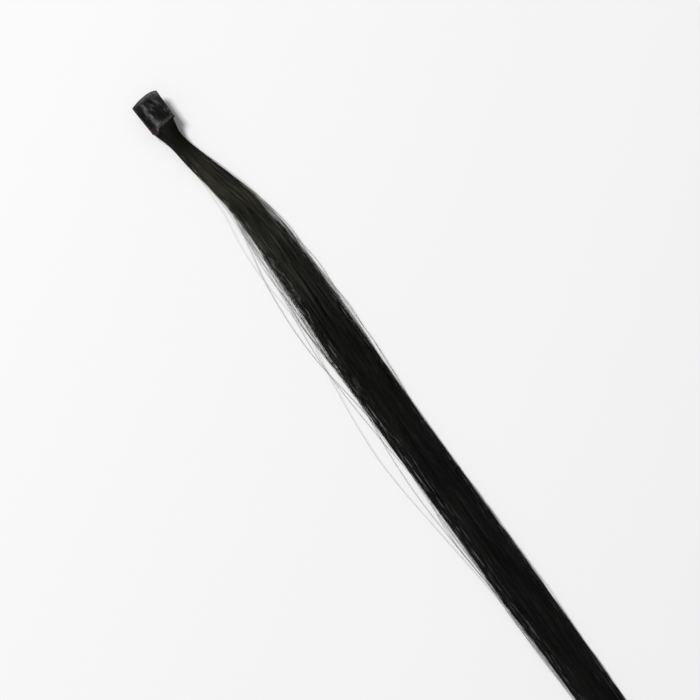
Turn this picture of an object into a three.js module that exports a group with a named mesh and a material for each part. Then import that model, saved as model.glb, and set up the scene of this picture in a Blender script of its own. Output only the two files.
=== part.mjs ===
// A strand of straight hair with a moulded keratin tip, lying on a table.
// Millimetres, +Z up. The strand runs along +X from its tip to its cut end, and the table is Z = 0.
import * as THREE from "three";

// The tip: a shallow gutter whose two flanges slope up from a flat-floored groove
const TIP_LENGTH = 8.35; // at the corners of the free end
const TIP_WIDTH = 7.0; // without the spread of the left flange
const TIP_WALL = 0.9;
const TIP_LIFT = 1.7; // underside of the groove above the table
const LEFT_SPREAD = 0.17; // the left flange is this much wider all along
const LEFT_FLARE = 0.45; // and this much more at the corner of the free end
const END_BOW = 0.95; // the free end bulges this far past its corners
const END_BOW_POWER = 3; // above 2, so the bulge is fuller than a parabola
const GROOVE_CENTRE = -2.0; // sideways, so the left flange is the narrow one
const GROOVE_SLANT = 0.07; // the groove runs beside the left rim: sideways shift for each millimetre along
const GROOVE_PIVOT = -4.5; // along, where it crosses its centre
const GROOVE_FLOOR = 0.6;
const GROOVE_ROUND = 0.5; // size of the curve from the floor into a flange
const LEFT_SLOPE = 0.58;
const RIGHT_SLOPE = 0.43;
const SIDE_ROUND = 0.45; // width of the rounded side rims
const END_ROUND = 1.0; // length of the rounded rim of the free end
const RIM_SHARE = 0.4; // share of the wall that is left at the very rim
const LIP_SWELL = 0.25; // share by which the wall thickens at the lip
const LIP_REACH = 0.8;
// Strips of the wall: along, over the rounded end, the plain middle and the lip; across, each flange
const TIP_STRIPS = { end: 4, lip: 2, left: 5, right: 12 };
const STRIPS_ALONG = TIP_STRIPS.end + 1 + TIP_STRIPS.lip;
const STRIPS_ACROSS = TIP_STRIPS.left + 1 + TIP_STRIPS.right;

// The lock: it leaves the lip with this gap, and ends in a plain cut
const SEAT_GAP = 0.3;
const LOCK_FLAT = 0.5; // cosine of the angle below which the underside is flat
const LOCK_SIDES = 24;
const LOCK_STEPS_PER_ROW = 4;

// along: from the lip. centre: sideways from the tip's axis. lift: underside above the table.
// gutter: how far the section still follows the tip's gutter.
const LOCK_SECTIONS = [
  { along: SEAT_GAP, centre: -0.2, width: 6.8, height: 0.9, lift: TIP_LIFT, gutter: 1.0 },
  { along: 2.5, centre: -0.15, width: 4.8, height: 1.4, lift: 1.6, gutter: 0.6 },
  { along: 6.0, centre: 0.52, width: 4.25, height: 1.7, lift: 1.3, gutter: 0.1 },
  { along: 11.0, centre: 1.58, width: 5.05, height: 1.8, lift: 0.9, gutter: 0.0 },
  { along: 18.0, centre: 3.45, width: 5.8, height: 1.8, lift: 0.4, gutter: 0.0 },
  { along: 24.0, centre: 4.85, width: 6.1, height: 1.85, lift: 0.15, gutter: 0.0 },
  { along: 28.0, centre: 5.5, width: 6.6, height: 1.9, lift: 0.0, gutter: 0.0 },
  { along: 40.0, centre: 6.08, width: 7.95, height: 2.0, lift: 0.0, gutter: 0.0 },
  { along: 56.0, centre: 6.12, width: 8.65, height: 2.0, lift: 0.0, gutter: 0.0 },
  { along: 72.0, centre: 5.6, width: 10.0, height: 2.0, lift: 0.0, gutter: 0.0 },
  { along: 100.0, centre: 5.2, width: 10.6, height: 2.0, lift: 0.0, gutter: 0.0 },
  { along: 122.0, centre: 5.5, width: 10.2, height: 2.0, lift: 0.0, gutter: 0.0 },
  { along: 152.0, centre: 5.55, width: 10.2, height: 1.9, lift: 0.0, gutter: 0.0 },
  { along: 170.0, centre: 5.75, width: 9.7, height: 1.75, lift: 0.0, gutter: 0.0 },
  { along: 185.0, centre: 5.7, width: 9.4, height: 1.6, lift: 0.0, gutter: 0.0 },
  { along: 196.0, centre: 5.6, width: 8.6, height: 1.2, lift: 0.0, gutter: 0.0 },
  { along: 200.0, centre: 5.6, width: 7.6, height: 0.8, lift: 0.0, gutter: 0.0 },
];

const KERATIN = { color: 0x1a1614, roughness: 0.3, metalness: 0.0 };
const HAIR = { color: 0x15140f, roughness: 0.45, metalness: 0.0 };

// Height of the gutter's underside above its floor at a place across it
function gutterRise(across) {
  const fromFloor = Math.max(0, Math.abs(across - GROOVE_CENTRE) - GROOVE_FLOOR / 2);
  const slope = across > GROOVE_CENTRE ? RIGHT_SLOPE : LEFT_SLOPE;
  return slope * (Math.hypot(fromFloor, GROOVE_ROUND) - GROOVE_ROUND);
}

// Sideways shift of the gutter at a place along and across it, none at its rims
function askew(along, across) {
  const inward = Math.max(0, 1 - (across / (TIP_WIDTH / 2)) ** 2);
  return GROOVE_SLANT * (Math.min(along, 0) - GROOVE_PIVOT) * inward;
}

// Share of the wall that is left at this distance from a rounded rim
function rimShare(fromRim, round) {
  const inward = Math.min(fromRim / round, 1);
  return RIM_SHARE + (1 - RIM_SHARE) * Math.sqrt(1 - (1 - inward) ** 2);
}

// Place across the tip of a line between its strips, which lie closer together towards the rims
function acrossOfLine(line) {
  const { left, right } = TIP_STRIPS;
  const onRight = line > left;
  const fromFloor = onRight ? (line - left - 1) / right : 1 - line / left;
  const floorEdge = GROOVE_CENTRE + ((onRight ? 1 : -1) * GROOVE_FLOOR) / 2;
  const rim = ((onRight ? 1 : -1) * TIP_WIDTH) / 2;
  return floorEdge + (rim - floorEdge) * Math.sin((fromFloor * Math.PI) / 2);
}

// Place along the tip of a line between its strips, from the free end to the lip
function alongOfLine(line, freeEnd) {
  const { end, lip } = TIP_STRIPS;
  if (line <= end) return freeEnd + END_ROUND * (1 - Math.cos(((line / end) * Math.PI) / 2));
  return -LIP_REACH * (1 - (line - end - 1) / lip);
}

// Moves every vertex of a geometry to the place that a function gives for it
function reshape(geometry, placeOf) {
  const position = geometry.getAttribute("position");
  const from = new THREE.Vector3();
  for (let i = 0; i < position.count; i += 1) {
    from.fromBufferAttribute(position, i);
    position.setXYZ(i, ...placeOf(from));
  }
  position.needsUpdate = true;
  geometry.computeVertexNormals();
  return geometry;
}

// The tip's wall, from a unit box: x runs from the free end to the lip, y across, z through the wall
function tipGeometry() {
  const half = TIP_WIDTH / 2;
  const leftFlange = GROOVE_CENTRE - GROOVE_FLOOR / 2;
  const box = new THREE.BoxGeometry(1, 1, 1, STRIPS_ALONG, STRIPS_ACROSS, 1);
  return reshape(box, ({ x, y, z }) => {
    const across = acrossOfLine(Math.round((y + 0.5) * STRIPS_ACROSS));
    const freeEnd = -TIP_LENGTH - END_BOW * (1 - Math.abs(across / half) ** END_BOW_POWER);
    const along = alongOfLine(Math.round((x + 0.5) * STRIPS_ALONG), freeEnd);
    const swell = 1 + LIP_SWELL * Math.max(0, 1 + along / LIP_REACH);
    const sideRim = rimShare(half - Math.abs(across), SIDE_ROUND);
    const endRim = rimShare(along - freeEnd, END_ROUND);
    const intoFlange = Math.max(0, (leftFlange - across) / (leftFlange + half));
    const flare = intoFlange * (LEFT_SPREAD + LEFT_FLARE * (-along / TIP_LENGTH));
    const middle = TIP_LIFT + gutterRise(across) + TIP_WALL / 2;
    const sideways = across + askew(along, across) - flare;
    return [along, sideways, middle + z * TIP_WALL * swell * sideRim * endRim];
  });
}

// The lock's outer form, from a unit cylinder whose axis becomes the strand's path
function lockGeometry() {
  const rows = LOCK_SECTIONS;
  const path = new THREE.CatmullRomCurve3(
    rows.map((row) => new THREE.Vector3(row.along, row.centre, row.lift)),
  );
  const size = new THREE.CatmullRomCurve3(
    rows.map((row) => new THREE.Vector3(row.width, row.height, row.gutter)),
  );
  const steps = (rows.length - 1) * LOCK_STEPS_PER_ROW;
  const cylinder = new THREE.CylinderGeometry(1, 1, 1, LOCK_SIDES, steps);
  return reshape(cylinder, ({ x, y, z }) => {
    const share = THREE.MathUtils.clamp(0.5 - y, 0, 1);
    const at = path.getPoint(share);
    const { x: width, y: height, z: gutter } = size.getPoint(share);
    const across = at.y + (x * width) / 2;
    const up = Math.max(0, (z + LOCK_FLAT) / (1 + LOCK_FLAT)) * height;
    const rise = gutterRise(across - askew(at.x, across));
    return [at.x, across, Math.max(0, at.z) + Math.max(0, gutter) * rise + up];
  });
}

function namedMesh(name, geometry, finish) {
  const mesh = new THREE.Mesh(geometry, new THREE.MeshStandardMaterial({ name, ...finish }));
  mesh.name = name;
  return mesh;
}

const strand = new THREE.Group();
strand.add(namedMesh("keratin_tip", tipGeometry(), KERATIN));
strand.add(namedMesh("hair_lock", lockGeometry(), HAIR));

// The origin is the middle of the strand's footprint on the table
const footprint = new THREE.Box3().setFromObject(strand);
const middle = footprint.getCenter(new THREE.Vector3());
strand.position.set(-middle.x, -middle.y, -footprint.min.z);

const hairExtension = new THREE.Group();
hairExtension.add(strand);

export default hairExtension;
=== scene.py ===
"""Looks of a keratin tip hair extension: one strand of straight black hair lying on a pale table.

Sizes are millimetres in the strand's own directions: along from the lip of the tip towards the cut
end, across from the tip's axis, and up from the table. StrandFrame turns them into metres of the
shared frame.
"""
import logging
import math
from dataclasses import dataclass
from enum import Enum

import bmesh
import bpy
import numpy as np
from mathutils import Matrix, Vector, noise


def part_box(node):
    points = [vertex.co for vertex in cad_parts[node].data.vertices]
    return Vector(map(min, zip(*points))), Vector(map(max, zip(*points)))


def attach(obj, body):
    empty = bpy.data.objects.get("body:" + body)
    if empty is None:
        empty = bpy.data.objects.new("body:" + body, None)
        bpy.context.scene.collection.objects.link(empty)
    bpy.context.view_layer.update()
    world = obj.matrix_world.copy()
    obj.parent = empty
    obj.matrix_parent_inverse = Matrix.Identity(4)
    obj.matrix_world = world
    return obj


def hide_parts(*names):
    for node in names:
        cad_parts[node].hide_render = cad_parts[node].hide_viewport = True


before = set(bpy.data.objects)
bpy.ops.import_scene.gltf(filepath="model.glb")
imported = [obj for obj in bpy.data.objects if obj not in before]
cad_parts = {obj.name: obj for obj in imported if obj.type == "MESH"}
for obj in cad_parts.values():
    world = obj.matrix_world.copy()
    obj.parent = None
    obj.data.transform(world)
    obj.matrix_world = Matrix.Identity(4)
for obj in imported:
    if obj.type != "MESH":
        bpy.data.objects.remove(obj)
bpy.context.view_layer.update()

log = logging.getLogger("hair_strand")

MM = 0.001
UP = (0.0, 0.0, 1.0)
BODY = "root"
TIP_NODE = "keratin_tip"
LOCK_NODE = "hair_lock"
HAIR_MAP = "OFBake"
# Marks that the finishes read: the pale mark paints highlights on the tip where its keratin is also matt,
# the tone mark carries tone with painted sheen, and the glint mark paints glints.
FROST_AND_HIGHLIGHT_MARK = "pale"
THIN_MARK = "thin"
TONE_AND_SHEEN_MARK = "tone"
PAINTED_GLINT_MARK = "glint"
FULL = (0.0, 1.0)
REFRACTION = 1.5
BLOCK_SIZE = 1.0

# Steps that fill a line, and the three directions of a cube, evenly without repeating.
LINE_STEP = 0.618
CUBE_STEPS = (0.8191725, 0.6710436, 0.5497004)

# Places tried for each hair that is kept.
TRIES = 4

# Sines in a random wave, and about how high they add up.
WAVE_SINES = 3
WAVE_PEAK = 2

Colour = tuple[float, float, float]
Triple = tuple[float, float, float]
Span = tuple[float, float]
Marks = dict[str, np.ndarray]
Socket = bpy.types.NodeSocket


def with_alpha(colour: Colour) -> tuple[float, float, float, float]:
    """Adds full opacity to a colour."""
    return (*colour, 1.0)


def ease(share: np.ndarray) -> np.ndarray:
    """Rises smoothly from 0 to 1 as a share goes from 0 to 1, and stays there outside."""
    return 0.5 - 0.5 * np.cos(math.pi * np.clip(share, 0.0, 1.0))


class Side(Enum):
    """A side of the strand, seen from above with its tip pointing away."""

    LEFT = -1.0
    RIGHT = 1.0


@dataclass(frozen=True)
class Ramp:
    """A smooth rise from 0 to 1.

    Attributes:
        start: Where it starts.
        reach: How far on it is complete; negative where it rises the other way.
    """

    start: float
    reach: float

    def share(self, places: np.ndarray) -> np.ndarray:
        """How far it has risen at each place, 0 to 1."""
        return ease((places - self.start) / self.reach)


@dataclass(frozen=True)
class Wave:
    """Slow random waves of hairs or wisps.

    Attributes:
        shortest: Shortest wave.
        longest: Longest wave.
        size: About how far they swing to each side.
    """

    shortest: float
    longest: float
    size: float = 1.0

    def heights(self, along: np.ndarray, draw: np.random.Generator) -> np.ndarray:
        """Draws a wave for each row of places.

        Args:
            along: Places along the strand, a row for each wave.
            draw: Source of random numbers.

        Returns:
            The wave's height at each place.
        """
        column = (len(along), 1)
        total = np.zeros_like(along)
        for _ in range(WAVE_SINES):
            length = draw.uniform(self.shortest, self.longest, column)
            phase = draw.uniform(0.0, 2 * math.pi, column)
            total += np.sin(2 * math.pi * along / length + phase)
        return self.size * (total / WAVE_PEAK)


@dataclass(frozen=True)
class Ripples:
    """Smooth random ripples over the tip.

    Attributes:
        size: About how high they are.
        run: Ripples to a millimetre, along and across.
        level: Number that sets these ripples apart from others.
    """

    size: float
    run: Span
    level: float

    def heights(self, along: np.ndarray, across: np.ndarray) -> np.ndarray:
        """Works out the ripples.

        Args:
            along: Places along the tip.
            across: Places across the tip.

        Returns:
            Height at each place.
        """
        places = zip(along * self.run[0], across * self.run[1])
        return self.size * np.array([noise.noise(Vector((*place, self.level))) for place in places])


@dataclass(frozen=True)
class StrandFrame:
    """Where the strand lies in the shared frame.

    Attributes:
        lip_x: Place of the tip's lip, in metres.
        axis_y: Place of the tip's axis, in metres.
    """

    lip_x: float
    axis_y: float

    @classmethod
    def from_tip(cls, width: float) -> "StrandFrame":
        """Reads the lip and the straight right rim off the tip's box.

        Args:
            width: Width of the tip at its lip, in millimetres.

        Returns:
            The strand's place.
        """
        _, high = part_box(TIP_NODE)
        return cls(lip_x=high.x, axis_y=high.y - width / 2 * MM)

    def place(self, points: np.ndarray) -> np.ndarray:
        """Turns strand millimetres into metres of the shared frame."""
        return points * MM + np.array((self.lip_x, self.axis_y, 0.0))


class Shader:
    """A principled material with the nodes that feed it."""

    def __init__(self, name: str) -> None:
        """Starts a material with a bare principled surface.

        Args:
            name: Name of the material.
        """
        self.material = bpy.data.materials.new(name)
        self.material.use_nodes = True
        self.tree = self.material.node_tree
        self.surface = self.tree.nodes["Principled BSDF"]

    def settle(self, **values: object) -> None:
        """Sets constant values on the surface's own sockets.

        Args:
            values: Socket names, with underscores for spaces, and their values.
        """
        for name, value in values.items():
            self.surface.inputs[name.replace("_", " ")].default_value = value

    def node(self, kind: str, **inputs: object) -> bpy.types.Node:
        """Adds a node.

        Args:
            kind: Type of the node without its ShaderNode prefix.
            inputs: Input names, with underscores for spaces, and a value or a socket to link for each.

        Returns:
            The new node.
        """
        made = self.tree.nodes.new("ShaderNode" + kind)
        for name, value in inputs.items():
            socket = made.inputs[name.replace("_", " ")]
            if isinstance(value, Socket):
                self.tree.links.new(value, socket)
            else:
                socket.default_value = value
        return made

    def feed(self, name: str, source: Socket) -> None:
        """Links a socket to one of the surface's inputs."""
        self.tree.links.new(source, self.surface.inputs[name])

    def mark(self, name: str) -> Socket:
        """Reads a number that the mesh carries.

        Args:
            name: Name of the number.

        Returns:
            The number.
        """
        made = self.node("Attribute")
        made.attribute_name = name
        return made.outputs["Fac"]

    def noise(self, stretch: Triple, detail: float = 3.0) -> Socket:
        """Cloudy noise in the piece's own space.

        Args:
            stretch: Clouds to a metre along each axis.
            detail: Number of finer layers.

        Returns:
            The noise, about 0 to 1.
        """
        place = self.node("TexCoord").outputs["Object"]
        mapped = self.node("Mapping", Vector=place, Scale=stretch)
        clouds = self.node("TexNoise", Vector=mapped.outputs["Vector"], Scale=1.0, Detail=detail)
        return clouds.outputs["Fac"]

    def blend(self, share: Socket, first: Colour | Socket, second: Colour | Socket) -> Socket:
        """Mixes two colours.

        Args:
            share: Share of the second colour.
            first: Colour or socket.
            second: Colour or socket.

        Returns:
            The mixed colour.
        """
        made = self.tree.nodes.new("ShaderNodeMix")
        made.data_type = "RGBA"
        # The colour sockets of a mix node share their names with its others, so they go by number.
        factor, low, high, mixed = made.inputs[0], made.inputs[6], made.inputs[7], made.outputs[2]
        self.tree.links.new(share, factor)
        for socket, value in ((low, first), (high, second)):
            if isinstance(value, Socket):
                self.tree.links.new(value, socket)
            else:
                socket.default_value = with_alpha(value)
        return mixed

    def times(self, first: Socket, second: Socket) -> Socket:
        """Multiplies two numbers.

        Args:
            first: Number.
            second: Number.

        Returns:
            Their product.
        """
        made = self.node("Math", Value=first)
        made.operation = "MULTIPLY"
        self.tree.links.new(second, made.inputs[1])
        return made.outputs["Value"]

    def span(self, value: Socket, source: Span, target: Span) -> Socket:
        """Maps a range of numbers onto another and holds its ends.

        Args:
            value: Number to map.
            source: Its lowest and highest value.
            target: What these become.

        Returns:
            The mapped number.
        """
        made = self.node("MapRange", Value=value, From_Min=source[0], From_Max=source[1],
                         To_Min=target[0], To_Max=target[1])
        return made.outputs["Result"]


@dataclass(frozen=True)
class KeratinFinish:
    """Near-black moulded keratin: glossy and mottled with fibre streaks that are partly painted glints,
    matt with painted highlights at its rims, crease and lip, and brown where it is thin.

    Attributes:
        dark: Colour between the streaks.
        streak_and_glint: Colour of the streaks, which are fibre streaks and partly painted glints.
        pale: Colour of the painted highlights, where the keratin is also matt.
        thin: Colour where the keratin is thin.
        streaks: Streaks to a metre along each axis.
        streak_span: Noise at which the lighter colour begins and at which it is full.
        streak_depth: Depth of the streaks, in metres.
        streak_relief: How strongly their depth shows.
        specks: Specks of the painted highlights and matt keratin to a metre along each axis.
        speck_span: Noise at which a speck begins and at which it is full.
        speck_share: How much of the painted highlights and matt keratin shows between the specks and in
            them.
        speck_depth: Depth of the specks, in metres.
        speck_relief: How strongly their depth shows.
        clumps: Clumps of streaks to a metre along each axis.
        clump_span: Noise at which a clump begins and at which it is full.
        clump_share: How much the streaks show between the clumps and in them.
        frost_span: Mark of painted highlight and matt keratin at which the gloss starts to go and at which
            it is gone.
        roughness: Roughness at these two.
        specular: Strength of the reflections.
    """

    dark: Colour = (0.0024, 0.0022, 0.0021)
    streak_and_glint: Colour = (0.0280, 0.0264, 0.0250)
    pale: Colour = (0.080, 0.077, 0.075)
    thin: Colour = (0.052, 0.036, 0.036)
    streaks: Triple = (800.0, 2000.0, 2000.0)
    streak_span: Span = (0.48, 0.64)
    streak_depth: float = 0.00002
    streak_relief: float = 0.8
    specks: Triple = (1500.0, 2200.0, 2200.0)
    speck_span: Span = (0.34, 0.56)
    speck_share: Span = (0.25, 1.0)
    speck_depth: float = 0.00001
    speck_relief: float = 0.5
    clumps: Triple = (420.0, 600.0, 600.0)
    clump_span: Span = (0.42, 0.62)
    clump_share: Span = (0.05, 1.0)
    frost_span: Span = (0.0, 0.4)
    roughness: Span = (0.2, 0.5)
    specular: float = 0.14

    def material(self) -> bpy.types.Material:
        """Makes the material.

        Returns:
            The keratin material.
        """
        shader = Shader("moulded_keratin")
        streaks = shader.noise(self.streaks, detail=4.0)
        specks = shader.noise(self.specks)
        clumps = shader.span(shader.noise(self.clumps, detail=1.0), self.clump_span, self.clump_share)
        # Fibre streaks, partly painted glints: a lighter colour in clumps of streaks.
        streak_and_glint_share = shader.times(clumps, shader.span(streaks, self.streak_span, FULL))
        body = shader.blend(streak_and_glint_share, self.dark, self.streak_and_glint)
        speckled = shader.span(specks, self.speck_span, self.speck_share)
        # Painted highlights on the rims, crease, lip and glint patches, where the keratin is also matt:
        # the mark lightens the colour and roughens the surface.
        frost_and_highlight = shader.times(shader.mark(FROST_AND_HIGHLIGHT_MARK), speckled)
        with_painted_highlights = shader.blend(frost_and_highlight, body, self.pale)
        shader.feed("Base Color", shader.blend(shader.mark(THIN_MARK), with_painted_highlights, self.thin))
        shader.feed("Roughness", shader.span(frost_and_highlight, self.frost_span, self.roughness))
        fine = shader.node("Bump", Height=specks, Distance=self.speck_depth, Strength=self.speck_relief)
        ribbed = shader.node("Bump", Height=streaks, Distance=self.streak_depth,
                             Strength=self.streak_relief, Normal=fine.outputs["Normal"])
        shader.feed("Normal", ribbed.outputs["Normal"])
        shader.settle(IOR=REFRACTION, Specular_IOR_Level=self.specular)
        return shader.material


@dataclass(frozen=True)
class HairFinish:
    """Natural black hair with a soft sheen along the hairs; a sheen, olive-brown towards the root, and
    glints are painted into its colour.

    Attributes:
        dark: Darkest hair towards the root.
        light: Lightest hair towards the root, a colour that also paints the sheen there.
        end_dark: Darkest hair towards the cut end.
        end_light: Lightest hair towards the cut end, a colour that also paints the sheen there.
        end_reach: Shares of the length between which the first two turn into the last two.
        glint: Colour of the painted glints.
        clouds: Clouds of lighter hair to a metre along each axis.
        cloud_span: Noise at which a cloud begins and at which it is full.
        cloud_share: How much of a hair's tone shows between the clouds and in them.
        dashes: Dashes of the painted glints to a metre along each axis.
        dash_span: Noise at which a dash begins and at which it is full.
        roughness: Roughness between the clouds and in them.
        specular: Strength of the reflections.
    """

    dark: Colour = (0.0030, 0.0031, 0.0016)
    # The light colours also paint the sheen, mixed in by the tone.
    light: Colour = (0.100, 0.096, 0.074)
    end_dark: Colour = (0.0030, 0.0031, 0.0028)
    end_light: Colour = (0.100, 0.100, 0.096)
    end_reach: Span = (0.30, 0.60)
    glint: Colour = (0.24, 0.24, 0.235)
    clouds: Triple = (150.0, 2500.0, 2500.0)
    cloud_span: Span = (0.35, 0.65)
    cloud_share: Span = (0.40, 1.0)
    dashes: Triple = (200.0, 2900.0, 2900.0)
    dash_span: Span = (0.58, 0.67)
    roughness: Span = (0.42, 0.28)
    specular: float = 0.16

    def material(self) -> bpy.types.Material:
        """Makes the material.

        Returns:
            The hair material.
        """
        shader = Shader("black_hair")
        clouds = shader.span(shader.noise(self.clouds), self.cloud_span, FULL)
        row = shader.node("UVMap")
        row.uv_map = HAIR_MAP
        down = shader.node("SeparateXYZ", Vector=row.outputs["UV"]).outputs["X"]
        cast = shader.span(down, self.end_reach, FULL)
        dark = shader.blend(cast, self.dark, self.end_dark)
        light = shader.blend(cast, self.light, self.end_light)
        # Tone with painted sheen: lighter streaks along the wisps, lightest between about 14 and 42 mm
        # along.
        tone_and_sheen = shader.blend(shader.mark(TONE_AND_SHEEN_MARK), dark, light)
        clouded = shader.blend(shader.span(clouds, FULL, self.cloud_share), dark, tone_and_sheen)
        # Painted glints in short dashes along the hairs.
        dashes = shader.span(shader.noise(self.dashes, detail=2.0), self.dash_span, FULL)
        glints = shader.times(shader.mark(PAINTED_GLINT_MARK), dashes)
        shader.feed("Base Color", shader.blend(glints, clouded, self.glint))
        shader.feed("Roughness", shader.span(clouds, FULL, self.roughness))
        shader.settle(IOR=REFRACTION, Specular_IOR_Level=self.specular)
        return shader.material


@dataclass(frozen=True)
class TableFinish:
    """Plain pale matt table.

    Attributes:
        colour: Its colour.
        roughness: Its roughness.
        specular: Strength of its reflections.
    """

    colour: Colour = (0.90, 0.90, 0.90)
    roughness: float = 0.9
    specular: float = 0.1

    def material(self) -> bpy.types.Material:
        """Makes the material.

        Returns:
            The table material.
        """
        shader = Shader("pale_table")
        shader.settle(Base_Color=with_alpha(self.colour), Roughness=self.roughness,
                      Specular_IOR_Level=self.specular)
        return shader.material


def add_marks(mesh: bpy.types.Mesh, marks: Marks) -> None:
    """Gives a mesh the numbers that its finish reads.

    Args:
        mesh: Mesh to mark.
        marks: A number for each vertex, under each name.
    """
    for name, values in marks.items():
        mark = mesh.attributes.new(name, "FLOAT", "POINT")
        mark.data.foreach_set("value", values.astype(np.float32))


def finish_piece(mesh: bpy.types.Mesh, material: bpy.types.Material, node: str) -> bpy.types.Object:
    """Makes a mesh a shaded piece that stands for a solid of the frame.

    Args:
        mesh: Mesh in the shared frame; its name becomes the piece's.
        material: Finish of the piece.
        node: Solid that the piece stands for.

    Returns:
        The piece.
    """
    mesh.materials.append(material)
    mesh.shade_smooth()
    piece = bpy.data.objects.new(mesh.name, mesh)
    bpy.context.collection.objects.link(piece)
    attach(piece, BODY)
    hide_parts(node)
    return piece


@dataclass(frozen=True)
class Gutter:
    """Cross-section of the moulded tip: two flanges that rise from a groove.

    Attributes:
        width: Width over both flanges.
        wall: Thickness of the keratin.
        lift: Underside of the groove above the table.
        groove_centre: Place of the groove across the tip.
        groove_floor: Width of the groove's flat floor.
        groove_round: Size of the curve from the floor into a flange.
        slant: Sideways shift of the groove for each millimetre along, since it runs askew.
        pivot: Place along the tip where the groove crosses its centre.
        left_slope: Slope of the left flange.
        right_slope: Slope of the right flange.
    """

    width: float = 7.0
    wall: float = 0.9
    lift: float = 1.7
    groove_centre: float = -2.0
    groove_floor: float = 0.6
    groove_round: float = 0.5
    slant: float = 0.07
    pivot: float = -4.5
    left_slope: float = 0.58
    right_slope: float = 0.43

    def rise(self, across: np.ndarray) -> np.ndarray:
        """Height of the underside above the groove's floor.

        Args:
            across: Places across the tip.

        Returns:
            Height at each place.
        """
        from_floor = np.clip(np.abs(across - self.groove_centre) - self.groove_floor / 2, 0.0, None)
        slope = np.where(across > self.groove_centre, self.right_slope, self.left_slope)
        return slope * (np.hypot(from_floor, self.groove_round) - self.groove_round)

    def askew(self, along: np.ndarray, across: np.ndarray) -> np.ndarray:
        """Sideways shift of the gutter, none at its rims.

        Args:
            along: Places along the tip.
            across: Places across the tip.

        Returns:
            Shift at each place.
        """
        inward = np.clip(1 - (across / (self.width / 2)) ** 2, 0.0, None)
        return self.slant * (np.minimum(along, 0.0) - self.pivot) * inward


@dataclass(frozen=True)
class GlintPatch:
    """A painted glint on the keratin: a lighter spot.

    Attributes:
        along: Its middle along the tip.
        across: Its middle across the tip.
        length: How far it reaches along.
        width: How far it reaches across.
        slant: Its sideways shift for each millimetre along.
        strength: How light it is in its middle, 0 to 1.
    """

    along: float
    across: float
    length: float
    width: float
    slant: float
    strength: float

    def share(self, along: np.ndarray, across: np.ndarray) -> np.ndarray:
        """How light it is at each place.

        Args:
            along: Places along the tip.
            across: Places across the tip.

        Returns:
            Lightness, 0 to 1.
        """
        forth = along - self.along
        aside = across - self.across - self.slant * forth
        return self.strength * np.exp(-((forth / self.length) ** 2) - (aside / self.width) ** 2)


@dataclass(frozen=True)
class TipPlaces:
    """Places on the tip, an entry for each vertex.

    Attributes:
        along: Places along the tip.
        across: Places across the tip, before it is flared and turned askew.
        end_gap: Distances from the free end.
        lip_gap: Distances from the lip.
        end_swell: How far each lies on the bead of the free end, 0 to 1.
        lip_swell: How far each lies on the bead of the lip, 0 to 1.
    """

    along: np.ndarray
    across: np.ndarray
    end_gap: np.ndarray
    lip_gap: np.ndarray
    end_swell: np.ndarray
    lip_swell: np.ndarray


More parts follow.
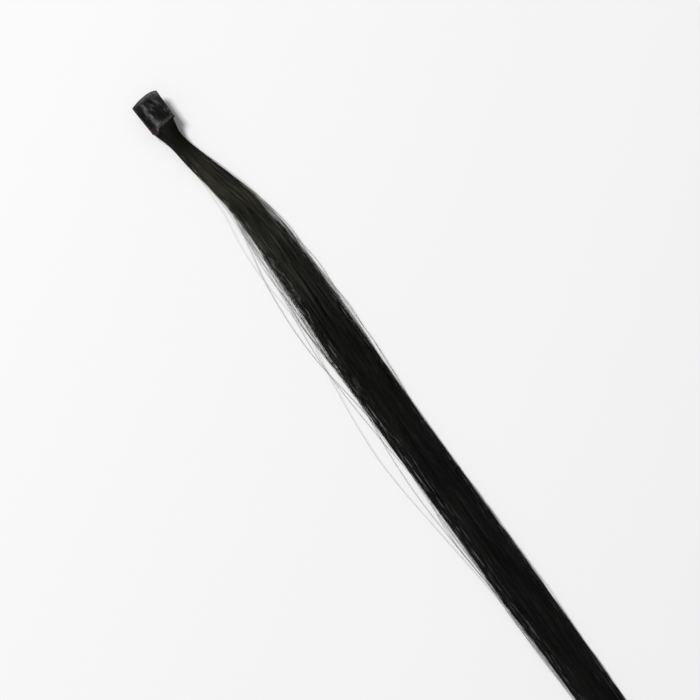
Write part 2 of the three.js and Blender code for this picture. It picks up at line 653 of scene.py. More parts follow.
@dataclass
class KeratinTip:
    """The moulded bond: a gutter of keratin with rounded rims, a bowed free end and a swollen lip.

    Attributes:
        gutter: Cross-section of the tip.
        length: Length along the rims.
        end_bow: How far the free end bows out.
        end_bow_power: How squarely it bows.
        left_spread: How far the left rim stands out at the lip.
        left_flare: How much farther it stands out at the free end.
        side_round: Rounding of the rims.
        end_round: Rounding of the free end.
        rim_share: Share of the wall that is left at a rim.
        end_bead: Height of the bead at the free end.
        end_bead_place: Distance of that bead from the free end.
        lip_bead: Height of the bead at the lip.
        lip_bead_place: Distance of that bead from the lip.
        lip_lobe: How far a lobe of the lip runs out over the hair.
        lip_lobe_place: Middle of the lobe, in from the left rim.
        lip_lobe_reach: How far the lobe reaches to each side.
        fibres: Fibres in the upper side.
        unevenness: Unevenness of the upper side.
        crease_aside: Place of the crease of painted highlight and matt keratin, right of the groove's
            centre.
        crease_width: How far the crease reaches to each side.
        crease_wander: Sideways shift that makes the crease ragged.
        crease_start: Rise of the crease with the distance from the free end.
        crease_stop: Fall of the crease towards the lip, along the tip.
        crease_frost_and_highlight: How matt the crease is and how much highlight is painted on it, 0 to 1.
        end_frost_and_highlight: Rise of the free end's painted highlight and matt keratin across the tip.
        end_frost_and_highlight_left: How matt the free end is and how much highlight is painted on it at
            its left, 0 to 1.
        lip_frost_and_highlight: How matt the lip is and how much highlight is painted on it, 0 to 1.
        lip_frost_and_highlight_side: Rise of the lip's painted highlight and matt keratin, across from the
            groove's centre.
        thin_lip: How thin the keratin is at the left end of the lip, 0 to 1.
        thin_lip_reach: How far that reaches from the lip.
        thin_end: How thin the keratin is at the left of the free end, 0 to 1.
        thin_end_reach: How far that reaches from the free end.
        thin_side_reach: How far both reach from the left rim.
        glint_patches: Painted glints in the upper side.
        cuts: Cuts of the block along, across and through.
        crowding: How far the cuts crowd towards the rims, 0 to 1.
        finish: The keratin.
    """

    gutter: Gutter
    length: float = 8.35
    end_bow: float = 0.95
    end_bow_power: float = 3.0
    left_spread: float = 0.17
    left_flare: float = 0.45
    side_round: float = 0.45
    end_round: float = 1.0
    rim_share: float = 0.15
    end_bead: float = 0.10
    end_bead_place: float = 0.55
    lip_bead: float = 0.22
    lip_bead_place: float = 0.45
    lip_lobe: float = 1.3
    lip_lobe_place: float = 0.9
    lip_lobe_reach: float = 1.3
    fibres: Ripples = Ripples(0.018, (0.12, 1 / 0.28), 3.1)
    unevenness: Ripples = Ripples(0.06, (0.7 / 1.2, 1 / 1.2), 7.7)
    crease_aside: float = 0.35
    crease_width: float = 0.36
    crease_wander: Ripples = Ripples(0.2, (0.9, 0.5), 5.5)
    crease_start: Ramp = Ramp(0.6, 1.0)
    crease_stop: Ramp = Ramp(0.2, -1.0)
    crease_frost_and_highlight: float = 0.7
    end_frost_and_highlight: Ramp = Ramp(-2.4, 1.6)
    end_frost_and_highlight_left: float = 0.3
    lip_frost_and_highlight: float = 0.42
    lip_frost_and_highlight_side: Ramp = Ramp(0.1, 0.6)
    thin_lip: float = 0.8
    thin_lip_reach: float = 1.8
    thin_end: float = 0.35
    thin_end_reach: float = 0.9
    thin_side_reach: float = 1.6
    # Painted glints on the flanges and along the left rim.
    glint_patches: tuple[GlintPatch, ...] = (
        GlintPatch(-6.3, 1.8, 1.1, 0.32, 0.32, 0.6),
        GlintPatch(-7.4, 2.6, 0.5, 0.6, 0.0, 0.4),
        GlintPatch(-5.9, 0.6, 0.7, 0.2, 0.5, 0.4),
        GlintPatch(-5.3, -0.2, 0.5, 0.2, -0.4, 0.3),
        GlintPatch(-4.5, -3.0, 5.0, 0.7, 0.0, 0.06),
    )
    cuts: tuple[int, int, int] = (95, 95, 5)
    crowding: float = 0.4
    finish: KeratinFinish = KeratinFinish()

    def build(self, strand: StrandFrame) -> bpy.types.Object:
        """Builds and dresses the tip.

        Args:
            strand: Where the strand lies.

        Returns:
            The tip.
        """
        shell = self._block()
        unit = np.array([vert.co for vert in shell.verts])
        through = 2 * unit[:, 2]
        top = np.clip(through, 0.0, 1.0)
        spots = self._spots(unit)
        for vert, place in zip(shell.verts, strand.place(self._bend(spots, through, top))):
            vert.co = place
        mesh = bpy.data.meshes.new("moulded_tip")
        shell.to_mesh(mesh)
        shell.free()
        # Painted highlights, where the keratin is also matt, on the upper side only.
        frost_and_highlight = np.clip(top * self._frost_and_highlight(spots), 0.0, 1.0)
        add_marks(mesh, {FROST_AND_HIGHLIGHT_MARK: frost_and_highlight, THIN_MARK: self._thinness(spots)})
        return finish_piece(mesh, self.finish.material(), TIP_NODE)

    def _block(self) -> bmesh.types.BMesh:
        """Makes a unit block, cut finely along, across and through.

        Returns:
            The block.
        """
        block = bmesh.new()
        bmesh.ops.create_cube(block, size=BLOCK_SIZE)
        for axis, cuts in enumerate(self.cuts):
            run = [edge for edge in block.edges
                   if abs(edge.verts[0].co[axis] - edge.verts[1].co[axis]) > BLOCK_SIZE / 2]
            bmesh.ops.subdivide_edges(block, edges=run, cuts=cuts, use_grid_fill=True)
        return block

    def _crowd(self, unit: np.ndarray) -> np.ndarray:
        """Spreads places from -0.5 to 0.5 over -1 to 1, closer together towards both ends."""
        return (1 - self.crowding) * 2 * unit + self.crowding * np.sin(math.pi * unit)

    def _rim(self, distance: np.ndarray, rounding: float) -> np.ndarray:
        """Share of the wall that is left at a distance from a rounded rim."""
        inward = np.clip(distance / rounding, 0.0, 1.0)
        return self.rim_share + (1 - self.rim_share) * np.sqrt(1 - (1 - inward) ** 2)

    def _spots(self, unit: np.ndarray) -> TipPlaces:
        """Spreads the vertices of the unit block over the tip.

        Args:
            unit: Vertices of the block, from -0.5 to 0.5.

        Returns:
            Their places on the tip.
        """
        half = self.gutter.width / 2
        across = self._crowd(unit[:, 1]) * half
        bow = self.end_bow * (1 - np.abs(across / half) ** self.end_bow_power)
        from_lobe = np.abs(across + half - self.lip_lobe_place) / self.lip_lobe_reach
        lip = self.lip_lobe * ease(1 - from_lobe)
        free_end = -self.length - bow
        from_end = 0.5 + 0.5 * self._crowd(unit[:, 0])
        along = free_end + from_end * (lip - free_end)
        end_gap = along - free_end
        lip_gap = lip - along
        end_swell = np.exp(-(((end_gap - self.end_bead_place) / self.end_bead_place) ** 2))
        lip_swell = np.exp(-(((lip_gap - self.lip_bead_place) / self.lip_bead_place) ** 2))
        return TipPlaces(along, across, end_gap, lip_gap, end_swell, lip_swell)

    def _bend(self, spots: TipPlaces, through: np.ndarray, top: np.ndarray) -> np.ndarray:
        """Bends the tip into its gutter.

        Args:
            spots: Places on the tip.
            through: Places through the wall, from -1 at the underside to 1 at the upper side.
            top: How far each lies towards the upper side, 0 to 1.

        Returns:
            The tip's vertices in strand millimetres.
        """
        along, across, gutter = spots.along, spots.across, self.gutter
        half = gutter.width / 2
        flange = gutter.groove_centre - gutter.groove_floor / 2
        into_flange = np.clip((flange - across) / (flange + half), 0.0, 1.0)
        towards_end = np.clip(-along / self.length, 0.0, None)
        flare = into_flange * (self.left_spread + self.left_flare * towards_end)
        rims = self._rim(half - np.abs(across), self.side_round) * self._rim(spots.end_gap, self.end_round)
        wall = gutter.wall * rims
        middle = gutter.lift + gutter.rise(across) + gutter.wall / 2
        grain = self.fibres.heights(along, across) + self.unevenness.heights(along, across)
        relief = grain + self.lip_bead * spots.lip_swell + self.end_bead * spots.end_swell
        up = middle + through * wall / 2 + top * relief
        return np.column_stack((along, across + gutter.askew(along, across) - flare, up))

    def _frost_and_highlight(self, spots: TipPlaces) -> np.ndarray:
        """Works out how matt the upper side is and how much highlight is painted on it.

        Args:
            spots: Places on the tip.

        Returns:
            Painted highlight and matt keratin at each place, 0 to 1 or more.
        """
        along, across = spots.along, spots.across
        # Painted highlights, where the keratin is also matt: a ragged crease beside the groove, the free
        # end's bead, glint patches and the lip's bead.
        from_groove = across - self.gutter.groove_centre
        from_crease = from_groove - self.crease_aside + self.crease_wander.heights(along, across)
        crease = np.exp(-((from_crease / self.crease_width) ** 2))
        crease = crease * self.crease_start.share(spots.end_gap) * self.crease_stop.share(along)
        end = self.end_frost_and_highlight_left + (1 - self.end_frost_and_highlight_left) * self.end_frost_and_highlight.share(across)
        glint_patches = sum(patch.share(along, across) for patch in self.glint_patches)
        frost_and_highlight = spots.end_swell * end + self.crease_frost_and_highlight * crease + glint_patches
        return frost_and_highlight + self.lip_frost_and_highlight * spots.lip_swell * self.lip_frost_and_highlight_side.share(from_groove)

    def _thinness(self, spots: TipPlaces) -> np.ndarray:
        """Works out how thin the keratin is.

        Args:
            spots: Places on the tip.

        Returns:
            Thinness at each place, 0 to about 1.
        """
        from_rim = (spots.across + self.gutter.width / 2) / self.thin_side_reach
        at_lip = self.thin_lip * np.exp(-((spots.lip_gap / self.thin_lip_reach) ** 2) - from_rim**2)
        at_end = self.thin_end * np.exp(-((spots.end_gap / self.thin_end_reach) ** 2) - from_rim**2)
        return at_lip + at_end


@dataclass(frozen=True)
class LockSection:
    """A section through the lock.

    Attributes:
        along: Its place along the strand.
        centre: Its middle, across from the tip's axis.
        width: Its width.
        height: Its thickness in the middle.
        lift: Its underside above the table.
        gutter: How far it still follows the tip's gutter, 0 to 1.
    """

    along: float
    centre: float
    width: float
    height: float
    lift: float = 0.0
    gutter: float = 0.0


@dataclass(frozen=True)
class LockForm:
    """The lock's outer form: flat below, domed above, with rounded edges.

    Places across a section go from -1 at its left edge to 1 at its right one, and places up in it are
    shares of its thickness there.

    Attributes:
        gutter: Cross-section of the tip, which the root follows.
        sections: Sections through the lock, from the root to the cut end.
        below: Depth of the part under its edges, as a share of the dome above them.
        rounding: Length over which the corners between sections are rounded.
        step: Spacing at which they are rounded.
        least_height: Least height of a hair's middle above the table.
        edge_density: Density of the hairs at the very edges, as a share of that in the middle.
        left_thinning: How far in from the left edge the hairs are less dense.
        right_thinning: How far in from the right edge the hairs are less dense.
    """

    gutter: Gutter
    sections: tuple[LockSection, ...] = (
        LockSection(-2.0, -0.2, 5.8, 0.6, 1.85, 1.0),
        LockSection(0.0, -0.2, 7.0, 0.95, 1.72, 1.0),
        LockSection(2.5, -0.15, 4.8, 1.3, 1.58, 0.6),
        LockSection(6.0, 0.52, 4.25, 1.55, 1.3, 0.1),
        LockSection(11.0, 1.58, 5.05, 1.8, 0.9),
        LockSection(18.0, 3.25, 5.8, 1.8, 0.4),
        LockSection(24.0, 4.52, 6.24, 1.85, 0.15),
        LockSection(28.0, 5.3, 6.4, 1.9),
        LockSection(40.0, 6.08, 7.95, 2.0),
        LockSection(56.0, 6.12, 8.65, 2.0),
        LockSection(72.0, 5.6, 10.0, 2.0),
        LockSection(100.0, 5.2, 10.6, 2.0),
        LockSection(122.0, 5.5, 10.2, 2.0),
        LockSection(152.0, 5.55, 10.2, 1.9),
        LockSection(170.0, 5.75, 9.7, 1.75),
        LockSection(185.0, 5.7, 9.4, 1.6),
        LockSection(196.0, 5.6, 8.6, 1.2),
        LockSection(200.0, 5.6, 7.6, 0.8),
    )
    below: float = 0.5
    rounding: float = 5.0
    step: float = 0.25
    least_height: float = 0.0468
    edge_density: float = 0.15
    left_thinning: float = 0.3
    right_thinning: float = 0.42

    def sample(self, column: str, along: np.ndarray) -> np.ndarray:
        """Reads a column of the sections at any place, with the corners between rows rounded.

        Args:
            column: Name of the column.
            along: Places along the strand.

        Returns:
            The column's value at each place.
        """
        rows = np.array([(row.along, getattr(row, column)) for row in self.sections])
        grid = np.arange(rows[0, 0], rows[-1, 0] + self.step, self.step)
        reach = round(self.rounding / self.step / 2)
        weights = np.hanning(2 * reach + 3)[1:-1]
        padded = np.pad(np.interp(grid, rows[:, 0], rows[:, 1]), reach, mode="edge")
        return np.interp(along, grid, np.convolve(padded, weights / weights.sum(), mode="valid"))

    def upper(self, across: np.ndarray) -> np.ndarray:
        """Top of a unit section at a place across it."""
        dome = np.sqrt(np.clip(1 - across**2, 0.0, 1.0))
        return (dome + self.below) / (1 + self.below)

    def lower(self, across: np.ndarray) -> np.ndarray:
        """Underside of a unit section at a place across it."""
        dome = np.sqrt(np.clip(1 - across**2, 0.0, 1.0))
        return np.clip(self.below - dome, 0.0, None) / (1 + self.below)

    def homes(self, count: int) -> np.ndarray:
        """Spreads hairs evenly over a section, less densely towards its edges.

        Args:
            count: Number of hairs.

        Returns:
            Each hair's place across and up.
        """
        steps = np.arange(1, TRIES * count)[:, None] * np.array(CUBE_STEPS) % 1.0
        across = 2 * steps[:, 0] - 1
        thickness = self.upper(across) - self.lower(across)
        thinning = np.where(across > 0, self.right_thinning, self.left_thinning)
        inward = ease((1 - np.abs(across)) / thinning)
        density = thickness * (self.edge_density + (1 - self.edge_density) * inward)
        kept = steps[steps[:, 2] < density][:count]
        return np.column_stack((2 * kept[:, 0] - 1, kept[:, 1]))

    def points(self, along: np.ndarray, across: np.ndarray, height: np.ndarray,
               shift: np.ndarray) -> np.ndarray:
        """Places hairs in the form.

        Args:
            along: Places along the strand.
            across: Places across the section.
            height: Places up in the section.
            shift: Further shift across, in millimetres.

        Returns:
            Points in strand millimetres.
        """
        level = self.lower(across)
        level = level + height * (self.upper(across) - level)
        aside = self.sample("centre", along) + across * self.sample("width", along) / 2 + shift
        rise = self.gutter.rise(aside - self.gutter.askew(along, aside))
        rise = self.sample("gutter", along) * rise
        up = self.sample("lift", along) + rise + level * self.sample("height", along)
        return np.stack((along, aside, np.maximum(up, self.least_height)), axis=-1)


@dataclass(frozen=True)
class HairLength:
    """Where the hairs start and end.

    Attributes:
        root: Where they start, inside the tip.
        end: Where the longest of them end.
        end_spread: Length over which they end.
        end_beta: Both parameters of the beta distribution of their ends.
    """

    root: float = -2.0
    end: float = 200.0
    end_spread: float = 9.0
    end_beta: Span = (1.2, 2.5)

    def along(self, shares: np.ndarray, count: int, draw: np.random.Generator) -> np.ndarray:
        """Draws where hairs end, and sets points along each.

        Args:
            shares: Shares of a hair's length at which it has a point.
            count: Number of hairs.
            draw: Source of random numbers.

        Returns:
            Places of the points along the strand, a row for each hair.
        """
        ends = self.end - self.end_spread * draw.beta(*self.end_beta, (count, 1))
        return self.root + shares * (ends - self.root)


@dataclass(frozen=True)
class Zones:
    """Parts of the lock in which the hairs lie or look different.

    Attributes:
        free: Rise of a hair's freedom to move, along the strand.
        loosen: Rise of the loosened stretch at the bend, along the strand.
        tighten: Fall of the loosened stretch, along the strand.
        edge: Rise of the left edge, across.
        rim: Rise of the outermost hairs of that edge, across.
        upper: Rise of the upper hairs, up.
    """

    free: Ramp = Ramp(0.0, 32.0)
    loosen: Ramp = Ramp(6.0, 14.0)
    tighten: Ramp = Ramp(80.0, -30.0)
    edge: Ramp = Ramp(-0.35, -0.4)
    rim: Ramp = Ramp(-0.55, -0.3)
    upper: Ramp = Ramp(0.4, 0.3)

    def loosened(self, along: np.ndarray) -> np.ndarray:
        """How much the hairs are loosened at each place along the strand, 0 to 1."""
        return self.loosen.share(along) * self.tighten.share(along)


@dataclass(frozen=True)
class Wisps:
    """How the hairs are gathered in wisps.

    Attributes:
        count: Number of wisps.
        weight: How much a distance across and one up count in the choice of a hair's wisp.
        gather: How far the hairs of a wisp are drawn together, 0 to 1.
        pinch: Waves of this.
        end_gather: How much more they are drawn together at the cut end.
        end_rise: Rise of this, along the strand.
        gather_up: Share of the drawing together that goes up and down.
        sway: Sideways waves of a wisp.
        ripple: Short sideways waves of its upper hairs where they are loosened.
        rise: Short waves up and down of its upper hairs where they are loosened.
        shine: Waves of its tone, which paint sheen streaks along it.
    """

    count: int = 30
    weight: Span = (5.0, 1.8)
    gather: float = 0.10
    pinch: Wave = Wave(40.0, 120.0, 0.10)
    end_gather: float = 0.30
    end_rise: Ramp = Ramp(155.0, 45.0)
    gather_up: float = 0.6
    sway: Wave = Wave(60.0, 190.0, 0.16)
    ripple: Wave = Wave(22.0, 55.0, 0.32)
    rise: Wave = Wave(22.0, 55.0, 0.25)
    shine: Wave = Wave(14.0, 40.0, 0.28)

    def nearest(self, homes: np.ndarray, middles: np.ndarray) -> np.ndarray:
        """Chooses the wisp of each hair.

        Args:
            homes: Each hair's place in a section.
            middles: Each wisp's place in a section.

        Returns:
            Number of each hair's wisp.
        """
        apart = (homes[:, None] - middles) * np.array(self.weight)
        return np.argmin(np.sum(apart**2, axis=2), axis=1)


@dataclass(frozen=True)
class Straying:
    """How single hairs stray from their wisps.

    Attributes:
        stir: Sideways waves of a hair.
        lift: Waves up and down of a hair.
        drift: How far a hair strays across on its way to the cut end.
        drift_pivot: Share of the length where this straying is none.
        fray: Sideways waves of the hairs of the left edge.
        fray_size: Size of these waves.
        loosened_fray: Their further size where the hairs are loosened.
        edge_out: How far the hairs of the left edge stand out.
    """

    stir: Wave = Wave(35.0, 120.0, 0.12)
    lift: Wave = Wave(40.0, 150.0, 0.10)
    drift: float = 0.10
    drift_pivot: float = 0.2
    fray: Wave = Wave(22.0, 60.0)
    fray_size: float = 0.12
    loosened_fray: float = 0.30
    edge_out: float = 0.2


@dataclass(frozen=True)
class Sheen:
    """How light the hairs of the lock are, with painted sheen, and how much painted glint they have.

    Attributes:
        tone: Average tone of a hair, 0 to 1.
        tone_spread: How far the tone differs from hair to hair.
        painted_sheen_profile: Places along the strand, and the share of its tone that a hair has there; it
            paints the sheen, lightest between about 14 and 42 mm along.
        upper_glint: How much the upper hairs glint.
        edge_glint: How much more the upper hairs of the left edge glint.
        rim_glint: How much the outermost hairs of the left edge glint.
        rim_rise: Rise of that glint, up.
        fade: Fading of the glints, along the strand.
        fade_share: Share of the glints that fades.
    """

    tone: float = 0.36
    tone_spread: float = 0.16
    painted_sheen_profile: tuple[Span, ...] = (
        (0.0, 0.04), (7.0, 0.15), (14.0, 0.95), (28.0, 1.12),
        (42.0, 0.68), (50.0, 0.6), (66.0, 0.2), (200.0, 0.22),
    )
    upper_glint: float = 0.05
    edge_glint: float = 0.25
    rim_glint: float = 0.9
    rim_rise: Ramp = Ramp(0.0, 0.5)
    fade: Ramp = Ramp(105.0, 40.0)
    fade_share: float = 0.3

    def marks(self, zones: Zones, homes: np.ndarray, along: np.ndarray, shine: np.ndarray,
              draw: np.random.Generator) -> Marks:
        """Works out the marks that the finish reads.

        Args:
            zones: Parts of the lock.
            homes: Each hair's place in a section.
            along: Places of its points along the strand.
            shine: Wave of its wisp's tone at these points, which paints sheen streaks.
            draw: Source of random numbers.

        Returns:
            Tone with painted sheen, and painted glint, at the points, 0 to 1.
        """
        home_across, home_up = homes[:, :1], homes[:, 1:]
        # Tone with painted sheen: it differs at random from hair to hair, rises and falls in waves along
        # each wisp, and is lightest between about 14 and 42 mm along.
        tones = self.tone + shine + draw.normal(0.0, self.tone_spread, (len(homes), 1))
        tones = tones * np.interp(along, *np.transpose(self.painted_sheen_profile))
        # Painted glints on the upper hairs and the left edge, fading towards the cut end.
        upper = zones.upper.share(home_up)
        rim = zones.rim.share(home_across) * self.rim_rise.share(home_up)
        glints = self.upper_glint * upper + self.rim_glint * rim
        glints = glints + self.edge_glint * upper * zones.edge.share(home_across)
        glints = zones.free.share(along) * glints
        glints = glints * (1 - self.fade_share * self.fade.share(along))
        return {TONE_AND_SHEEN_MARK: np.clip(tones, 0.0, 1.0), PAINTED_GLINT_MARK: glints}


@dataclass(frozen=True)
class LooseHair:
    """A hair that parts from the lock's edge, bows out over the table and comes back.

    Attributes:
        side: Edge that it leaves.
        leaves: Where it leaves the edge.
        farthest: Where it stands farthest off.
        returns: Where it comes back.
        stand_off: Its greatest distance from the edge.
        thickness: Its thickness.
        crinkle: Size of its small waves.
    """

    side: Side
    leaves: float
    farthest: float
    returns: float
    stand_off: float
    thickness: float = 0.08
    crinkle: float = 0.0

    def offset(self, along: np.ndarray) -> np.ndarray:
        """Works out how far it stands off the edge.

        Args:
            along: Places along the strand.

        Returns:
            Distance out from the edge at each place.
        """
        out = Ramp(self.leaves, self.farthest - self.leaves).share(along)
        back = Ramp(self.returns, self.farthest - self.returns).share(along)
        return self.stand_off * np.minimum(out, back)


@dataclass(frozen=True)
class Fringe:
    """A group of loose hairs that run in pairs beside an edge.

    Attributes:
        side: Edge that they leave.
        pairs: Number of pairs.
        leaves: Where they leave the edge, on average.
        farthest: Where they stand farthest off, on average.
        returns: Where they come back, on average.
        spread: How far these places move from pair to pair.
        stand_off: Least and greatest distance from the edge.
        thickness: Thickness of a hair.
        crinkle: Size of a hair's small waves.
        crowding: How closely the pairs crowd towards the edge; 1 is evenly.
        jitter: Random share of the spread.
        beside: Least and greatest distance between the hairs of a pair.
    """

    side: Side
    pairs: int
    leaves: float
    farthest: float
    returns: float
    spread: float
    stand_off: Span
    thickness: float = 0.082
    crinkle: float = 0.10
    crowding: float = 1.2
    jitter: float = 0.3
    beside: Span = (0.05, 0.25)

    def hairs(self, draw: np.random.Generator) -> list[LooseHair]:
        """Draws the hairs of the group.

        Args:
            draw: Source of random numbers.

        Returns:
            The hairs.
        """
        group = []
        near, far = self.stand_off
        average = (self.leaves, self.farthest, self.returns)
        for number in range(self.pairs):
            off = near + (far - near) * ((number + 0.5) / self.pairs) ** self.crowding
            later = self.spread * (2 * (number * LINE_STEP % 1.0) - 1)
            places = draw.normal(average, self.jitter * self.spread) + later
            for beside in (0.0, draw.uniform(*self.beside)):
                hair = LooseHair(self.side, *places, off + beside, self.thickness, self.crinkle)
                group.append(hair)
        return group


@dataclass(frozen=True)
class LooseHairs:
    """The hairs that lie in the lock's edges apart from where they bow out.

    Attributes:
        strays: Single hairs.
        fringes: Groups of hairs.
        points: Points along a hair.
        home: Innermost and outermost place of a hair, across.
        level: Lowest and highest place of a hair, up.
        tone: Darkest and lightest tone of a hair.
        stir: Sideways waves of a hair.
        crinkle: Small waves of a hair, which has its own size for them.
    """

    strays: tuple[LooseHair, ...] = (
        LooseHair(Side.LEFT, 8.0, 43.0, 92.0, 4.2, 0.05),
        LooseHair(Side.LEFT, 17.0, 57.0, 102.0, 4.75, 0.09),
        LooseHair(Side.LEFT, 16.0, 66.0, 125.0, 3.2),
        LooseHair(Side.LEFT, 33.0, 103.0, 168.0, 4.5, 0.065),
        LooseHair(Side.LEFT, 62.0, 118.0, 162.0, 2.5),
        LooseHair(Side.RIGHT, 33.0, 51.0, 71.0, 1.7, 0.1),
    )
    fringes: tuple[Fringe, ...] = (
        Fringe(Side.LEFT, 3, 17.0, 37.0, 60.0, 4.0, (0.1, 1.9), 0.046),
        Fringe(Side.LEFT, 5, 34.0, 61.0, 92.0, 7.0, (0.2, 1.8)),
        Fringe(Side.LEFT, 4, 17.0, 45.0, 74.0, 5.0, (0.2, 3.2), 0.058),
        Fringe(Side.LEFT, 2, 30.0, 57.0, 84.0, 6.0, (0.3, 3.2)),
        Fringe(Side.LEFT, 3, 66.0, 86.0, 110.0, 6.0, (0.3, 1.0)),
        Fringe(Side.LEFT, 4, 100.0, 124.0, 154.0, 9.0, (0.3, 1.6), 0.066),
        Fringe(Side.LEFT, 3, 124.0, 160.0, 204.0, 5.0, (0.4, 1.4), 0.06),
        Fringe(Side.RIGHT, 4, 8.0, 30.0, 56.0, 5.0, (0.3, 1.3), 0.075),
        Fringe(Side.RIGHT, 3, 16.0, 38.0, 74.0, 4.0, (0.4, 1.5)),
        Fringe(Side.RIGHT, 4, 36.0, 62.0, 98.0, 6.0, (0.3, 1.5)),
        Fringe(Side.RIGHT, 2, 112.0, 142.0, 176.0, 8.0, (0.2, 0.8)),
    )
    points: int = 120
    home: Span = (0.91, 1.0)
    level: Span = (0.2, 0.8)
    tone: Span = (0.05, 0.2)
    stir: Wave = Wave(30.0, 90.0, 0.16)
    crinkle: Wave = Wave(10.0, 28.0)

    def paths(self, form: LockForm, lengths: HairLength, free: Ramp,
              draw: np.random.Generator) -> tuple[np.ndarray, Marks, np.ndarray]:
        """Routes the hairs.

        Args:
            form: Outer form of the lock.
            lengths: Where the hairs start and end.
            free: Rise of a hair's freedom to move, along the strand.
            draw: Source of random numbers.

        Returns:
            A path for each hair in strand millimetres, the marks at its points, and its radius.
        """
        hairs = [*self.strays, *(hair for fringe in self.fringes for hair in fringe.hairs(draw))]
        column = (len(hairs), 1)
        along = lengths.along(np.linspace(0.0, 1.0, self.points), len(hairs), draw)
        even = np.ones_like(along)
        side = np.array([[hair.side.value] for hair in hairs])
        out = np.array([hair.offset(row) for hair, row in zip(hairs, along)])
        across = side * draw.uniform(*self.home, column) * even
        height = draw.uniform(*self.level, column) * even
        stir = self.stir.heights(along, draw)
        crinkle = np.array([[hair.crinkle] for hair in hairs]) * self.crinkle.heights(along, draw)
        shift = side * out + free.share(along) * (stir + crinkle)
        tones = draw.uniform(*self.tone, column) * even
        marks = {TONE_AND_SHEEN_MARK: tones, PAINTED_GLINT_MARK: np.zeros_like(along)}
        radius = np.array([hair.thickness / 2 for hair in hairs])
        return form.points(along, across, height, shift), marks, radius


@dataclass(frozen=True)
class HairTubes:
    """Hairs as joined tubes.

    Attributes:
        sides: Sides of a tube.
        row_margin: Margin between the tubes' rows in their map, as a share of a row.
    """

    sides: int = 3
    row_margin: float = 0.1

    def mesh(self, name: str, strand: StrandFrame, paths: np.ndarray, marks: Marks,
             radius: np.ndarray) -> bpy.types.Mesh:
        """Makes tubes along the hairs' paths.

        Args:
            name: Name of the mesh.
            strand: Where the strand lies.
            paths: Points of each hair in strand millimetres.
            marks: Numbers at these points, under the names that the finish reads.
            radius: Radius of each hair.

        Returns:
            The joined tubes, with marks and a map.
        """
        hairs, stations, _ = paths.shape
        tangent = np.gradient(paths, axis=1)
        tangent /= np.linalg.norm(tangent, axis=2, keepdims=True)
        aside = np.cross(UP, tangent)
        aside /= np.linalg.norm(aside, axis=2, keepdims=True)
        above = np.cross(tangent, aside)
        turn = (np.arange(self.sides) + 0.5) * 2 * math.pi / self.sides
        ring = np.cos(turn)[:, None] * aside[:, :, None] + np.sin(turn)[:, None] * above[:, :, None]
        points = strand.place(paths[:, :, None] + radius[:, None, None, None] * ring)
        index = np.arange(hairs * stations * self.sides).reshape(hairs, stations, self.sides)
        onward = np.roll(index, -1, axis=2)
        walls = np.stack((index[:, :-1], onward[:, :-1], onward[:, 1:], index[:, 1:]), axis=-1)
        faces = [*walls.reshape(-1, 4).tolist(), *index[:, 0, ::-1].tolist(), *index[:, -1].tolist()]
        mesh = bpy.data.meshes.new(name)
        mesh.from_pydata(points.reshape(-1, 3).tolist(), [], faces)
        add_marks(mesh, {mark: np.repeat(values, self.sides) for mark, values in marks.items()})
        self._map(mesh, hairs, stations)
        return mesh

    def _map(self, mesh: bpy.types.Mesh, hairs: int, stations: int) -> None:
        """Gives the tubes a map with a row for each hair, which runs along it.

        Args:
            mesh: Joined tubes.
            hairs: Number of hairs.
            stations: Points along each hair.
        """
        low, high = self.row_margin, 1 - self.row_margin
        row = np.arange(hairs)[:, None, None, None]
        place = np.arange(stations - 1)[None, :, None, None]
        corner_u = np.array((0, 0, 1, 1))
        corner_v = np.array((low, high, high, low))
        shape = (hairs, stations - 1, self.sides, 4)
        wall_u = np.broadcast_to((place + corner_u) / (stations - 1), shape).reshape(-1)
        wall_v = np.broadcast_to((row + corner_v) / hairs, shape).reshape(-1)
        cap_u = np.tile(corner_u / (stations - 1), hairs)
        cap_v = ((np.arange(hairs)[:, None] + corner_v) / hairs).reshape(-1)
        all_u = np.concatenate((wall_u, cap_u, 1 - cap_u))
        all_v = np.concatenate((wall_v, cap_v, cap_v))
        layer = mesh.uv_layers.new(name=HAIR_MAP)
        layer.data.foreach_set("uv", np.column_stack((all_u, all_v)).reshape(-1).astype(np.float32))


